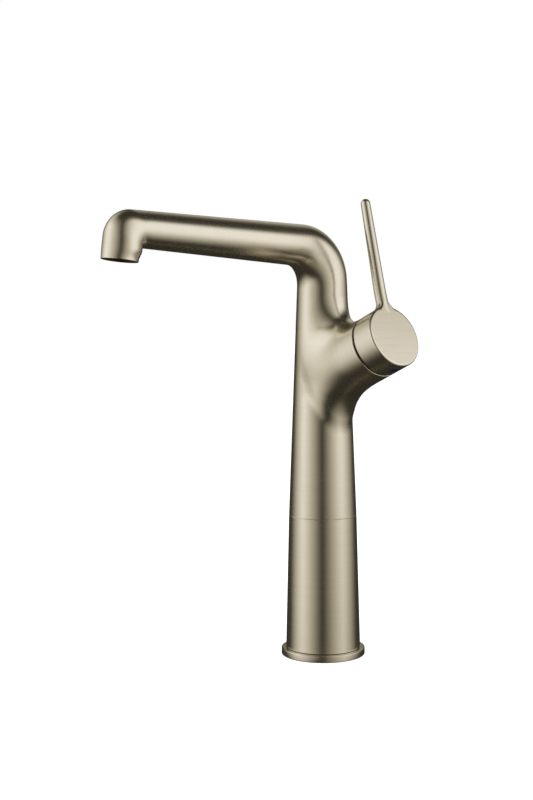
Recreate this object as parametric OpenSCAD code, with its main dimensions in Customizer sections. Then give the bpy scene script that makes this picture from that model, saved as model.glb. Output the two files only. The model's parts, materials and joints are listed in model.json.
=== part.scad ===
// Bathroom mixer faucet: a tall single-lever basin mixer with the valve in a side branch.
// The column stands on +Z, the spout reaches out along -Y and the branch with its lever
// points to +X and upwards. The origin is the centre of the face that sits on the deck.

/* [Base flange and gasket] */
// Outer radius of the round base flange
flange_r = 28; // [26:0.5:36]
// Height of the flange's top face above the deck
flange_top = 5; // [4:0.5:8]
// Rounding of the flange's upper edge
flange_round = 1.4; // [0.4:0.2:2]
// Rounding of the flange's lower edge
flange_foot_round = 0.8; // [0.3:0.1:1]
// Gap between the flange's metal and the deck, which the gasket bridges
flange_lift = 0.3; // [0.2:0.1:0.6]
// Thickness of the rubber gasket
gasket_h = 2; // [1.4:0.2:2.6]
// Width of the gasket ring
gasket_w = 6; // [4:0.5:6]
// Distance of the gasket's inner edge outside the sleeve's bore
gasket_inset = 0.4; // [0.2:0.1:0.8]
// Radial clearance of the gasket in its recess
gasket_fit = 0.1; // [0.05:0.05:0.2]

/* [Riser sleeve] */
// Outer radius of the sleeve where it stands on the flange
sleeve_foot_r = 24.9; // [24:0.1:25.5]
// Height of the joint between sleeve and body
seam_z = 94.6; // [80:1:140]
// Chamfer on both edges of that joint
seam_chamfer = 0.4; // [0.1:0.1:0.8]
// Bore of the sleeve around the body's spigot
sleeve_bore_r = 19; // [18:0.1:19.4]
// Wider bore of the sleeve below the spigot
sleeve_core_r = 19.6; // [19.5:0.1:20.4]
// Length of the narrower bore
sleeve_seat_h = 14; // [12:1:20]
// Wall of the lip that centres the sleeve in the flange
sleeve_lip_t = 1.8; // [1.2:0.1:2]
// Radial clearance of that lip
lip_fit = 0.1; // [0.05:0.05:0.2]

/* [Column and neck] */
// Outer radius of the body at the joint
body_foot_r = 22.6; // [22:0.1:23.4]
// Outer radius of the neck where the bend starts
neck_r = 16.4; // [16:0.1:17.5]
// Height at which the bend starts
neck_z = 250.8; // [245:1:290]
// Wall of the hollow column
column_wall = 3; // [2:0.2:3.4]
// Length of the spigot that enters the sleeve
spigot_len = 6; // [5:0.5:8]
// Radial clearance of the spigot in the sleeve
spigot_fit = 0.1; // [0.05:0.05:0.2]
// Height of the solid foot above the joint, which holds the inlet sockets
foot_block_h = 17.4; // [14:0.5:24]

/* [Sleeve O-ring] */
// Section radius of the O-ring on the spigot
o_ring_r = 0.75; // [0.6:0.05:0.9]
// Depth of the O-ring groove
o_groove_depth = 1.5; // [1.4:0.05:1.8]
// Width of the O-ring groove
o_groove_w = 2; // [1.9:0.1:2.6]
// Distance of the groove's centre below the joint
o_groove_drop = 3; // [2:0.1:3.6]

/* [Spout] */
// Radius of the neck bend's centre line
bend_r = 23; // [21:0.5:30]
// Extra radius of the casting in the middle of the bend
bend_swell = 1; // [0:0.1:1.5]
// Angle by which the spout rises towards its tip
spout_rise = 3.85; // [0:0.5:10]
// Length of the straight spout
spout_len = 135.5; // [90:1:170]
// Radius of the spout at the bend
spout_root_r = 13.6; // [13:0.1:15]
// Radius of the spout at the tip bend
spout_tip_r = 11.1; // [10.9:0.1:12]
// Wall of the hollow spout
spout_wall = 3; // [2:0.2:3.2]
// Radius of the tip bend's centre line
tip_bend_r = 5.7; // [4:0.1:8]
// Angle of the tip bend
tip_turn = 85.75; // [75:1:92]
// Radius of the nozzle, a little larger than the spout's tip
nozzle_r = 11.25; // [11.1:0.05:12.2]
// Length of the straight nozzle below the tip bend
nozzle_len = 14.3; // [13:0.5:20]

/* [Valve branch] */
// Height at which the branch axis crosses the column axis
branch_z = 185.8; // [175:0.1:200]
// Angle of the branch axis above the horizontal
branch_rise = 24.5; // [15:0.5:32]
// Distance from the column axis to the branch mouth
branch_len = 55.3; // [53:0.1:64]
// Outer radius of the branch and of the lever hub
branch_r = 20.5; // [19.2:0.1:21.5]
// Chamfer at the branch mouth
mouth_chamfer = 0.5; // [0.2:0.1:0.8]
// Wall between the cartridge bore and the water way
seat_wall = 3.2; // [2.4:0.2:4]
// Distance from the column axis to the back face of the seat block
seat_back = 2; // [0:0.5:4]

/* [Supply tubes and inlets] */
// Outer radius of a supply tube
tube_r = 4; // [3.6:0.1:4.2]
// Wall of a supply tube
tube_wall = 0.8; // [0.6:0.1:1]
// Distance of the supply tubes from the column axis towards the branch
tube_x = 5.2; // [4.8:0.1:6]
// Half the distance between the two supply tubes
tube_y = 8; // [7.6:0.1:8.6]
// Radial clearance of a supply tube in its sockets
tube_fit = 0.05; // [0.02:0.01:0.1]
// Depth of the tube's socket below the valve ports
tube_stop_drop = 4; // [3:0.5:5]
// Radius of the M10x1 inlet thread's core
inlet_thread_r = 4.46; // [4.4:0.02:4.5]
// Depth of an inlet thread
inlet_depth = 14; // [10:1:16]
// Radius of the M8 stud thread's core
stud_thread_r = 3.4; // [3.2:0.05:3.6]
// Depth of the stud thread
stud_depth = 14; // [10:1:18]
// Distance of the stud thread from the column axis, away from the branch
stud_x = 9.5; // [9:0.5:11]

/* [Cartridge] */
// Outer radius of the cartridge housing
cartridge_r = 14; // [13.8:0.1:14.4]
// Radial clearance of the cartridge in its bore
cartridge_fit = 0.1; // [0.05:0.05:0.2]
// Wall of the cartridge housing
housing_wall = 1.2; // [1:0.1:1.4]
// Gap between the housing's lower edge and the seat
housing_lift = 0.4; // [0.2:0.1:0.8]
// Height of the cartridge base
base_h = 3.5; // [3.2:0.1:5]
// Height of the rim that centres the fixed disc
base_rim_h = 1.5; // [1:0.1:2.4]
// Thickness of the fixed ceramic disc
fixed_disc_h = 3; // [2.5:0.1:4]
// Thickness of the moving ceramic disc
moving_disc_h = 2.5; // [2.2:0.1:4]
// Radius of the moving ceramic disc
moving_disc_r = 9.6; // [9.4:0.1:9.7]
// Distance of the inlet ports from the cartridge axis, both ways
port_inlet = 4.8; // [4.6:0.1:4.9]
// Radius of an inlet port
port_inlet_r = 2; // [1.6:0.1:2]
// Distance of the outlet port from the cartridge axis
port_outlet = 5.2; // [5:0.1:5.4]
// Radius of the outlet port
port_outlet_r = 3.2; // [2.6:0.1:3.2]
// Height of the port seals
seal_h = 1.4; // [1:0.1:1.8]
// Width of the port seals
seal_w = 1.4; // [1:0.1:1.5]
// Gap between a port and its seal
seal_inset = 0.2; // [0.1:0.1:0.3]
// Depth of the mixing recess in the moving disc
recess_depth = 1.2; // [0.8:0.1:1.6]
// Rim of the moving disc around the mixing recess
recess_rim = 2.2; // [2:0.1:2.4]
// Edge of the mixing recess on the inlets' side
recess_edge = 2.2; // [2:0.1:2.4]
// Height of the disc carrier
carrier_h = 6; // [5.6:0.1:7]
// Half the width across the carrier's flats
carrier_flat = 8; // [7.6:0.1:8.2]
// Radius of the pegs that key the carrier to the moving disc
peg_r = 1.2; // [1:0.1:1.3]
// Length of those pegs
peg_len = 1; // [0.6:0.1:1]
// Running clearance inside the cartridge
run_gap = 0.1; // [0.06:0.01:0.12]
// Radial clearance of the turret's neck in the housing
neck_fit = 0.08; // [0.04:0.01:0.1]

/* [Turret and stem] */
// Radius of the turret's neck
turret_neck_r = 9; // [8.9:0.1:9.4]
// Height of the turret's flange
turret_flange_h = 4.3; // [3.5:0.1:5]
// Height of the turret's neck above the pivot
turret_top = 5.8; // [4:0.1:5.9]
// Half the length of the turret's slot
slot_half = 6.6; // [6.2:0.1:6.8]
// Thickness of the turret's guide rails
rail_t = 1.8; // [1.2:0.1:1.8]
// Half the length of the guide rails
rail_half = 7; // [5:0.5:7]
// Height of the guide rails
rail_h = 4; // [3:0.5:4.5]
// Radius of the pivot pin
pin_r = 1.5; // [1.2:0.1:1.7]
// Radial clearance of the stem on the pivot pin
pin_fit = 0.04; // [0.02:0.01:0.08]
// Radial clearance of the pivot pin in the turret
pin_seat_fit = 0.01; // [0.01:0.01:0.03]
// Gap between each end of the pivot pin and the housing
pin_end_gap = 0.4; // [0.3:0.1:1]
// Thickness of the stem's blade
blade_t = 5; // [4.4:0.1:5.4]
// Width of the stem's square shank
shank_w = 7; // [6:0.5:7]
// Distance from the pivot to the start of the shank
shank_start = 8.5; // [8.4:0.1:10]
// Length of the blade below the pivot
blade_drop = 5; // [4:0.1:5.2]
// Radius of the stem's ball end
ball_r = 2.6; // [2.3:0.1:2.8]
// Depth of the ball's centre below the carrier's top
ball_cover = 0.8; // [0.6:0.1:1.2]
// Radius of the stem's lower arm
arm_r = 2; // [1.6:0.1:2]
// Radial clearance of the ball in the carrier
ball_fit = 0.12; // [0.08:0.01:0.16]

/* [Housing top and retaining nut] */
// Thickness of the housing's top plate
plate_h = 4.8; // [4.4:0.1:6]
// Height of the pivot above the top plate's lower face
pivot_in_plate = 2.7; // [2.4:0.1:3]
// Radius of the nut's thread
nut_r = 16.4; // [16:0.1:16.6]
// Radial clearance of the nut in the branch
nut_fit = 0.1; // [0.05:0.05:0.15]
// Bore of the nut
nut_bore_r = 10.5; // [10.4:0.1:11.5]
// Height of the nut's thread
nut_thread_h = 7; // [5:0.5:8]
// Height of the nut's hexagon
nut_hex_h = 4; // [3:0.5:5]
// Width across the flats of the nut's hexagon
nut_hex_af = 28; // [26:0.5:28]
// Depth of the nut's top below the branch mouth
nut_recess = 0.9; // [0.5:0.1:2]
// Depth of the bore's shoulder below the housing's top
shoulder_drop = 0.3; // [0.1:0.1:0.6]

/* [Lever] */
// Turn of the lever from straight up, away from the spout
lever_turn = 5; // [0:1:20]
// Gap between the branch mouth and the lever hub
hub_gap = 1.2; // [0.8:0.1:2]
// Length of the lever hub
hub_len = 16.2; // [15:0.1:20]
// Bevel on the hub's front rim
hub_bevel = 0.8; // [0.3:0.1:1.2]
// Clearance of the hub's hollow around the branch mouth
hub_clear = 0.25; // [0.2:0.05:0.4]
// Radius of the boss that grips the stem
hub_boss_r = 6; // [5.4:0.1:6.2]
// Distance from the pivot to the boss's end
hub_boss_start = 17; // [16.8:0.1:18]
// Thickness of the hub's front skin over the stem
hub_skin = 2.4; // [1.5:0.1:3]
// Clearance of the stem in the hub, all round
stem_fit = 0.05; // [0.02:0.01:0.1]
// Distance of the lever pin's axis behind the hub's face
lever_set = 5.4; // [5:0.1:7]
// Length of the lever pin beyond the hub's rim
lever_len = 74; // [60:1:100]
// Depth of the lever pin's root inside the hub
lever_sink = 7.8; // [5:0.1:9]
// Radius of the lever pin at the hub
lever_root_r = 4.1; // [3.8:0.1:4.6]
// Radius of the lever pin's tip
lever_tip_r = 3.1; // [2.8:0.05:3.6]
// Angle by which the lever pin leans outwards
lever_lean = 7; // [0:0.5:10]

/* [Grub screw and index plug] */
// Radius of the grub screw
grub_r = 2.05; // [1.9:0.05:2.1]
// Length of the grub screw
grub_len = 8; // [6:0.5:9]
// Radial clearance of the grub screw
grub_fit = 0.05; // [0.02:0.01:0.1]
// Width across the flats of the screw's socket
grub_socket = 2; // [1.5:0.5:2.5]
// Depth of the screw's socket
grub_socket_depth = 3; // [2:0.5:3.5]
// Radius of the index plug
plug_r = 3.25; // [3:0.05:3.6]
// Radial clearance of the index plug
plug_fit = 0.05; // [0.02:0.01:0.1]
// Depth of the index plug in the hub
plug_depth = 4.6; // [3:0.1:5.5]
// Height of the plug's dome above the hub
plug_dome = 0.5; // [0.3:0.1:1]

/* [Aerator] */
// Radius of the aerator bore in the nozzle
aerator_bore_r = 9.4; // [9.2:0.1:9.6]
// Radial clearance of the aerator in that bore
aerator_fit = 0.1; // [0.05:0.05:0.2]
// Depth of the aerator's lip inside the nozzle
aerator_recess = 1.6; // [1:0.1:2.4]
// Height of the aerator housing
aerator_h = 7.4; // [7:0.1:8.2]
// Wall of the aerator housing
aerator_wall = 1.1; // [0.9:0.1:1.3]
// Width of the lip that carries the outlet grid
aerator_lip = 1; // [0.8:0.1:1.2]
// Thickness of that lip
aerator_lip_h = 1; // [0.8:0.1:1.2]
// Thickness of the outlet grid
grid_h = 1.6; // [1.2:0.1:2]
// Distance between the grid's holes
grid_pitch = 2; // [1.9:0.1:2.4]
// Radius of a grid hole
grid_hole_r = 0.8; // [0.6:0.05:0.85]
// Height of the flow regulator
regulator_h = 3.6; // [3:0.1:4]
// Number of slots around the flow regulator
regulator_slots = 8; // [4:1:10]
// Width of a regulator slot
regulator_slot_w = 1.2; // [0.8:0.1:1.4]
// Thickness of the aerator's rubber seal
aerator_seal_h = 1.4; // [1.2:0.1:1.8]
// Inner radius of that seal
aerator_seal_bore_r = 6.5; // [6:0.1:7]
// Clearance of the loose pieces in the aerator
aerator_play = 0.1; // [0.05:0.05:0.2]

/* [Hidden] */
$fn = 96;
hull_fn = 48;
section_h = 1;
section_inset = 0.15;
way_step = 0.3;
bend_steps = 6;
tiny = 0.02;
past = 1;

// Base
sleeve_lip_r = sleeve_core_r + sleeve_lip_t;
flange_lip_r = sleeve_lip_r + lip_fit;
gasket_in_r = sleeve_core_r + gasket_inset;
gasket_out_r = gasket_in_r + gasket_w;

// Column
spigot_r = sleeve_bore_r - spigot_fit;
spigot_z = seam_z - spigot_len;
o_groove_z = seam_z - o_groove_drop;
o_ring_centre_r = (spigot_r - o_groove_depth + sleeve_bore_r) / 2;
column_taper = (body_foot_r - neck_r) / (neck_z - seam_z);
cavity_z = seam_z + foot_block_h;
cavity_foot_r = body_foot_r - column_taper * foot_block_h - column_wall;

// Spout
bend_turn = 90 - spout_rise;
spout_way_root_r = spout_root_r - spout_wall;
spout_way_tip_r = spout_tip_r - spout_wall;
way_corner_r = nozzle_r - spout_wall + way_step;
aerator_bore_depth = aerator_recess + aerator_h + aerator_seal_h;

// Valve levels along the branch axis
cartridge_stack = base_h + fixed_disc_h + moving_disc_h + carrier_h + run_gap
    + turret_flange_h + run_gap + plate_h;
seat_a = branch_len - nut_recess - nut_hex_h - nut_thread_h - cartridge_stack;
fixed_disc_a = seat_a + base_h;
moving_disc_a = fixed_disc_a + fixed_disc_h;
carrier_a = moving_disc_a + moving_disc_h;
carrier_top_a = carrier_a + carrier_h;
turret_a = carrier_top_a + run_gap;
plate_a = turret_a + turret_flange_h + run_gap;
housing_top_a = plate_a + plate_h;
pivot_a = plate_a + pivot_in_plate;
ball_a = carrier_top_a - ball_cover;
lower_arm = pivot_a - ball_a;
housing_bore_r = cartridge_r - housing_wall;
cartridge_bore_r = cartridge_r + cartridge_fit;
nut_bore_seat_r = nut_r + nut_fit;
seat_block_r = cartridge_bore_r + seat_wall;
fixed_disc_r = moving_disc_r + 1;

// Supply tubes
port_meet_a = (tube_x + port_inlet * sin(branch_rise)) / cos(branch_rise);
port_meet_z = branch_z + port_meet_a * sin(branch_rise) + port_inlet * cos(branch_rise);
tube_top_z = port_meet_z - tube_stop_drop;
tube_foot_z = spigot_z + inlet_depth;
tube_way_r = tube_r - tube_wall;

// Lever
hub_a = branch_len + hub_gap;
hub_face_a = hub_a + hub_len;
hub_hollow_r = norm([branch_len - pivot_a, branch_r]) + hub_clear;
lever_a = hub_face_a - lever_set;
hub_mid_a = hub_a + hub_len / 2;
stem_end_a = hub_face_a - hub_skin - stem_fit;
grub_end = shank_w / 2 + stem_fit;
plug_seat = branch_r - plug_depth;

// Aerator
aerator_r = aerator_bore_r - aerator_fit;
aerator_bore_in_r = aerator_r - aerator_wall;
aerator_piece_r = aerator_bore_in_r - aerator_play;
grid_zone_r = aerator_bore_in_r - aerator_lip - grid_hole_r;
grid_rings = floor(grid_zone_r / grid_pitch);

nickel = [0.74, 0.69, 0.60];
steel = [0.70, 0.70, 0.70];
brass = [0.78, 0.64, 0.34];
black_rubber = [0.07, 0.07, 0.07];
pale_plastic = [0.86, 0.86, 0.82];
grey_plastic = [0.45, 0.46, 0.48];
ceramic_white = [0.93, 0.92, 0.88];
index_blue = [0.08, 0.12, 0.26];

// ---------------------------------------------------------------- frames

// Z along the branch axis from the column axis, X upwards, Y towards the spout
module on_branch() {
    translate([0, 0, branch_z])
        rotate([0, 90 - branch_rise, 0])
            rotate([0, 0, 180])
                children();
}

// The branch frame, turned with the lever: X along the lever pin
module on_lever() {
    on_branch()
        rotate([0, 0, -lever_turn])
            children();
}

// Z along the pipe after a bend of radius r that turns towards the spout
module after_bend(r, turn) {
    translate([0, -r, 0])
        rotate([turn, 0, 0])
            translate([0, r, 0])
                children();
}

// Z along the straight spout, starting where the neck bend ends
module on_spout() {
    translate([0, 0, neck_z])
        after_bend(bend_r, bend_turn)
            children();
}

// Z along the flow, with its origin at the middle of the nozzle's outlet
module at_outlet() {
    on_spout()
        translate([0, 0, spout_len])
            after_bend(tip_bend_r, tip_turn)
                translate([0, 0, nozzle_len])
                    children();
}

// ---------------------------------------------------------------- shapes

module ring(r_out, r_in, h) {
    difference() {
        cylinder(r = r_out, h = h);
        translate([0, 0, -past])
            cylinder(r = r_in, h = h + 2 * past);
    }
}

module o_ring(centre_r, section_r) {
    rotate_extrude()
        translate([centre_r, 0])
            circle(r = section_r, $fn = 32);
}

// Round pipe bend of constant section; a section wider than the bend is cut at its axis
module pipe_bend(r, turn, section_r) {
    translate([0, -r, 0])
        rotate([90, 0, 90])
            rotate_extrude(angle = turn)
                intersection() {
                    translate([r, 0])
                        circle(r = section_r);
                    translate([0, -section_r])
                        square([r + section_r, 2 * section_r]);
                }
}

// One round section of the neck bend at a share s of its turn
module neck_section(s) {
    swell = bend_swell * sin(180 * s);
    section_r = neck_r + (spout_root_r - neck_r) * s + swell - section_inset;
    translate([0, -bend_r, 0])
        rotate([bend_turn * s, 0, 0])
            translate([0, bend_r - swell, 0])
                cylinder(r = section_r, h = section_h, center = true, $fn = hull_fn);
}

// ---------------------------------------------------------------- base and sleeve

module base_gasket() {
    color(black_rubber)
        ring(gasket_out_r, gasket_in_r, gasket_h);
}

module base_flange() {
    color(nickel)
        rotate_extrude()
            difference() {
                union() {
                    translate([0, flange_lift + flange_foot_round])
                        square([flange_r, flange_top - flange_lift - flange_foot_round - flange_round]);
                    translate([0, flange_lift])
                        square([flange_r - flange_foot_round, flange_foot_round + tiny]);
                    translate([0, flange_top - flange_round - tiny])
                        square([flange_r - flange_round, flange_round + tiny]);
                    translate([flange_r - flange_round, flange_top - flange_round])
                        circle(r = flange_round);
                    translate([flange_r - flange_foot_round, flange_lift + flange_foot_round])
                        circle(r = flange_foot_round);
                }
                translate([-past, -past])
                    square([flange_lip_r + past, flange_top + 2 * past]);
                translate([-past, -past])
                    square([gasket_out_r + gasket_fit + past, gasket_h + past]);
            }
}

module riser_sleeve() {
    color(nickel)
        rotate_extrude()
            polygon([
                [sleeve_core_r, gasket_h],
                [sleeve_lip_r, gasket_h],
                [sleeve_lip_r, flange_top],
                [sleeve_foot_r, flange_top],
                [body_foot_r, seam_z - seam_chamfer],
                [body_foot_r - seam_chamfer, seam_z],
                [sleeve_bore_r, seam_z],
                [sleeve_bore_r, seam_z - sleeve_seat_h],
                [sleeve_core_r, seam_z - sleeve_seat_h]
            ]);
}

module sleeve_o_ring() {
    color(black_rubber)
        translate([0, 0, o_groove_z])
            o_ring(o_ring_centre_r, o_ring_r);
}

// ---------------------------------------------------------------- body

module column_outside() {
    translate([0, 0, seam_z])
        rotate_extrude()
            polygon([
                [0, 0],
                [body_foot_r - seam_chamfer, 0],
                [body_foot_r - column_taper * seam_chamfer, seam_chamfer],
                [neck_r, neck_z - seam_z],
                [0, neck_z - seam_z]
            ]);
    translate([0, 0, spigot_z])
        cylinder(r = spigot_r, h = spigot_len + tiny);
}

module neck_bend_outside() {
    translate([0, 0, neck_z])
        for (i = [0 : bend_steps - 1])
            hull() {
                neck_section(i / bend_steps);
                neck_section((i + 1) / bend_steps);
            }
}

module spout_outside() {
    on_spout() {
        cylinder(r1 = spout_root_r, r2 = spout_tip_r, h = spout_len);
        translate([0, 0, spout_len]) {
            pipe_bend(tip_bend_r, tip_turn, spout_tip_r);
            after_bend(tip_bend_r, tip_turn)
                cylinder(r = nozzle_r, h = nozzle_len);
        }
    }
}

module branch_outside() {
    on_branch() {
        cylinder(r = branch_r, h = branch_len - mouth_chamfer);
        translate([0, 0, branch_len - mouth_chamfer])
            cylinder(r1 = branch_r, r2 = branch_r - mouth_chamfer, h = mouth_chamfer);
    }
}

module water_way() {
    translate([0, 0, cavity_z])
        cylinder(r1 = cavity_foot_r, r2 = neck_r - column_wall, h = neck_z - cavity_z);
    translate([0, 0, neck_z])
        pipe_bend(bend_r, bend_turn, spout_way_root_r + way_step);
    on_spout() {
        cylinder(r1 = spout_way_root_r, r2 = spout_way_tip_r, h = spout_len);
        translate([0, 0, spout_len]) {
            after_bend(tip_bend_r, tip_turn / 2)
                sphere(r = way_corner_r);
            after_bend(tip_bend_r, tip_turn)
                cylinder(r = nozzle_r - spout_wall, h = nozzle_len);
        }
    }
}

module seat_block() {
    on_branch()
        translate([0, 0, seat_back])
            cylinder(r = seat_block_r, h = branch_len - seat_back - mouth_chamfer);
}

// The cartridge's bore and its ports
module valve_drilling() {
    on_branch() {
        translate([0, 0, seat_a])
            cylinder(r = cartridge_bore_r, h = branch_len);
        translate([0, 0, housing_top_a - shoulder_drop])
            cylinder(r = nut_bore_seat_r, h = branch_len);
        for (side = [-1, 1])
            translate([port_inlet, side * port_inlet, port_meet_a - tube_way_r])
                cylinder(r = port_inlet_r, h = seat_a - port_meet_a + tube_way_r + past);
        translate([-port_outlet, 0, seat_back - past])
            cylinder(r = port_outlet_r, h = seat_a - seat_back + 2 * past);
    }
}

// The inlet threads, the tube sockets above them and the stud's thread
module foot_drilling() {
    for (side = [-1, 1])
        translate([tube_x, side * tube_y, 0]) {
            translate([0, 0, spigot_z - past])
                cylinder(r = inlet_thread_r, h = inlet_depth + past);
            translate([0, 0, spigot_z])
                cylinder(r = tube_r + tube_fit, h = tube_top_z - spigot_z);
            translate([0, 0, spigot_z])
                cylinder(r = tube_way_r, h = port_meet_z - spigot_z);
        }
    translate([-stud_x, 0, spigot_z - past])
        cylinder(r = stud_thread_r, h = stud_depth + past);
}

module body_casting() {
    color(nickel)
        difference() {
            union() {
                difference() {
                    union() {
                        column_outside();
                        neck_bend_outside();
                        spout_outside();
                        branch_outside();
                    }
                    water_way();
                }
                seat_block();
            }
            valve_drilling();
            foot_drilling();
            at_outlet()
                translate([0, 0, -aerator_bore_depth])
                    cylinder(r = aerator_bore_r, h = aerator_bore_depth + past);
            translate([0, 0, o_groove_z - o_groove_w / 2])
                ring(spigot_r + past, spigot_r - o_groove_depth, o_groove_w);
        }
}

module supply_tube(side) {
    color(brass)
        translate([tube_x, side * tube_y, tube_foot_z])
            ring(tube_r, tube_way_r, tube_top_z - tube_foot_z);
}

module cold_supply_tube() {
    supply_tube(-1);
}

module hot_supply_tube() {
    supply_tube(1);
}

// ---------------------------------------------------------------- cartridge

// The three ports in the branch frame, each with its radius grown by extra
module port_pattern(extra, h) {
    for (side = [-1, 1])
        translate([port_inlet, side * port_inlet, 0])
            cylinder(r = port_inlet_r + extra, h = h);
    translate([-port_outlet, 0, 0])
        cylinder(r = port_outlet_r + extra, h = h);
}

module cartridge_seals() {
    color(black_rubber)
        on_branch()
            translate([0, 0, seat_a])
                difference() {
                    port_pattern(seal_inset + seal_w, seal_h);
                    translate([0, 0, -past])
                        port_pattern(seal_inset, seal_h + 2 * past);
                }
}

module cartridge_base() {
    color(grey_plastic)
        on_branch()
            translate([0, 0, seat_a])
                difference() {
                    cylinder(r = housing_bore_r - run_gap, h = base_h + base_rim_h);
                    translate([0, 0, base_h])
                        cylinder(r = fixed_disc_r + run_gap, h = base_rim_h + past);
                    translate([0, 0, -past])
                        port_pattern(0, base_h + 2 * past);
                    translate([0, 0, -past])
                        port_pattern(seal_inset + seal_w, seal_h + past);
                }
}

module fixed_disc() {
    color(ceramic_white)
        on_branch()
            translate([0, 0, fixed_disc_a])
                difference() {
                    cylinder(r = fixed_disc_r, h = fixed_disc_h);
                    translate([0, 0, -past])
                        port_pattern(0, fixed_disc_h + 2 * past);
                }
}

module carrier_pegs(extra) {
    for (side = [-1, 1])
        translate([0, side * (moving_disc_r - recess_rim / 2 - peg_r), 0])
            cylinder(r = peg_r + extra, h = peg_len + extra);
}

module moving_disc() {
    color(ceramic_white)
        on_lever()
            translate([0, 0, moving_disc_a])
                difference() {
                    cylinder(r = moving_disc_r, h = moving_disc_h);
                    translate([0, 0, -past])
                        intersection() {
                            cylinder(r = moving_disc_r - recess_rim, h = recess_depth + past);
                            translate([-moving_disc_r, -moving_disc_r, 0])
                                cube([moving_disc_r + recess_edge, 2 * moving_disc_r, recess_depth + past]);
                        }
                    translate([0, 0, moving_disc_h - peg_len - tiny])
                        carrier_pegs(tiny);
                }
}

module disc_carrier() {
    color(pale_plastic)
        on_lever() {
            translate([0, 0, carrier_a])
                difference() {
                    intersection() {
                        cylinder(r = moving_disc_r, h = carrier_h);
                        translate([-moving_disc_r, -carrier_flat, 0])
                            cube([2 * moving_disc_r, 2 * carrier_flat, carrier_h]);
                    }
                    translate([0, 0, carrier_h - ball_cover - ball_r - ball_fit])
                        cylinder(r = ball_r + ball_fit, h = carrier_h);
                }
            translate([0, 0, carrier_a - peg_len])
                carrier_pegs(0);
        }
}

module cartridge_turret() {
    color(pale_plastic)
        on_lever()
            difference() {
                union() {
                    translate([0, 0, turret_a])
                        cylinder(r = housing_bore_r - run_gap, h = turret_flange_h);
                    translate([0, 0, turret_a])
                        cylinder(r = turret_neck_r, h = pivot_a + turret_top - turret_a);
                    for (side = [-1, 1])
                        translate([-rail_half, side * (carrier_flat + run_gap + rail_t / 2) - rail_t / 2, turret_a - rail_h])
                            cube([2 * rail_half, rail_t, rail_h + tiny]);
                }
                translate([-slot_half, -blade_t / 2 - neck_fit, turret_a - past])
                    cube([2 * slot_half, blade_t + 2 * neck_fit, turret_flange_h + plate_h + turret_top + 2 * past]);
                translate([0, 0, pivot_a])
                    rotate([90, 0, 0])
                        cylinder(r = pin_r + pin_seat_fit, h = 4 * turret_neck_r, center = true);
            }
}

module stem_pin() {
    color(steel)
        on_lever()
            translate([0, 0, pivot_a])
                rotate([90, 0, 0])
                    cylinder(r = pin_r, h = 2 * (turret_neck_r - pin_end_gap), center = true);
}

module cartridge_housing() {
    color(grey_plastic)
        on_branch()
            difference() {
                translate([0, 0, seat_a + housing_lift])
                    cylinder(r = cartridge_r, h = housing_top_a - seat_a - housing_lift);
                translate([0, 0, seat_a])
                    cylinder(r = housing_bore_r, h = plate_a - seat_a);
                translate([0, 0, seat_a])
                    cylinder(r = turret_neck_r + neck_fit, h = cartridge_stack + past);
            }
}

module retaining_nut() {
    color(brass)
        on_branch()
            translate([0, 0, housing_top_a])
                difference() {
                    union() {
                        cylinder(r = nut_r, h = nut_thread_h);
                        cylinder(r = nut_hex_af / 2 / cos(30), h = nut_thread_h + nut_hex_h, $fn = 6);
                    }
                    translate([0, 0, -past])
                        cylinder(r = nut_bore_r, h = nut_thread_h + nut_hex_h + 2 * past);
                }
}

// ---------------------------------------------------------------- lever

module lever_stem() {
    color(steel)
        on_lever()
            difference() {
                union() {
                    translate([-shank_w / 2, -shank_w / 2, pivot_a + shank_start])
                        cube([shank_w, shank_w, stem_end_a - pivot_a - shank_start]);
                    translate([-shank_w / 2, -blade_t / 2, pivot_a - blade_drop])
                        cube([shank_w, blade_t, blade_drop + shank_start + tiny]);
                    translate([0, 0, ball_a])
                        cylinder(r = arm_r, h = lower_arm - blade_drop + tiny);
                    translate([0, 0, ball_a])
                        sphere(r = ball_r);
                }
                translate([0, 0, pivot_a])
                    rotate([90, 0, 0])
                        cylinder(r = pin_r + pin_fit, h = 2 * shank_w, center = true);
            }
}

module hub_outside() {
    translate([0, 0, hub_a])
        rotate_extrude()
            polygon([
                [0, 0],
                [branch_r, 0],
                [branch_r, hub_len - hub_bevel],
                [branch_r - hub_bevel, hub_len],
                [0, hub_len]
            ]);
}

// The pin that the hand moves, rising from the hub's rim to a domed end
module lever_pin() {
    reach = lever_sink + lever_len - lever_tip_r;
    translate([branch_r - lever_sink, 0, lever_a])
        rotate([0, 90 - lever_lean, 0])
            rotate_extrude() {
                polygon([[0, 0], [lever_root_r, 0], [lever_tip_r, reach], [0, reach]]);
                intersection() {
                    translate([0, reach])
                        circle(r = lever_tip_r);
                    square([lever_root_r, reach + lever_tip_r]);
                }
            }
}

module lever_handle() {
    color(nickel)
        on_lever()
            difference() {
                union() {
                    difference() {
                        union() {
                            hub_outside();
                            lever_pin();
                        }
                        translate([0, 0, pivot_a])
                            sphere(r = hub_hollow_r);
                    }
                    translate([0, 0, pivot_a + hub_boss_start])
                        cylinder(r = hub_boss_r, h = hub_hollow_r - hub_boss_start + tiny);
                }
                translate([-shank_w / 2 - stem_fit, -shank_w / 2 - stem_fit, pivot_a])
                    cube([shank_w + 2 * stem_fit, shank_w + 2 * stem_fit, hub_face_a - hub_skin - pivot_a]);
                translate([0, 0, hub_mid_a])
                    rotate([0, -90, 0]) {
                        cylinder(r = grub_r + grub_fit, h = branch_r + past);
                        translate([0, 0, plug_seat])
                            cylinder(r = plug_r + plug_fit, h = plug_depth + past);
                    }
            }
}

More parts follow.
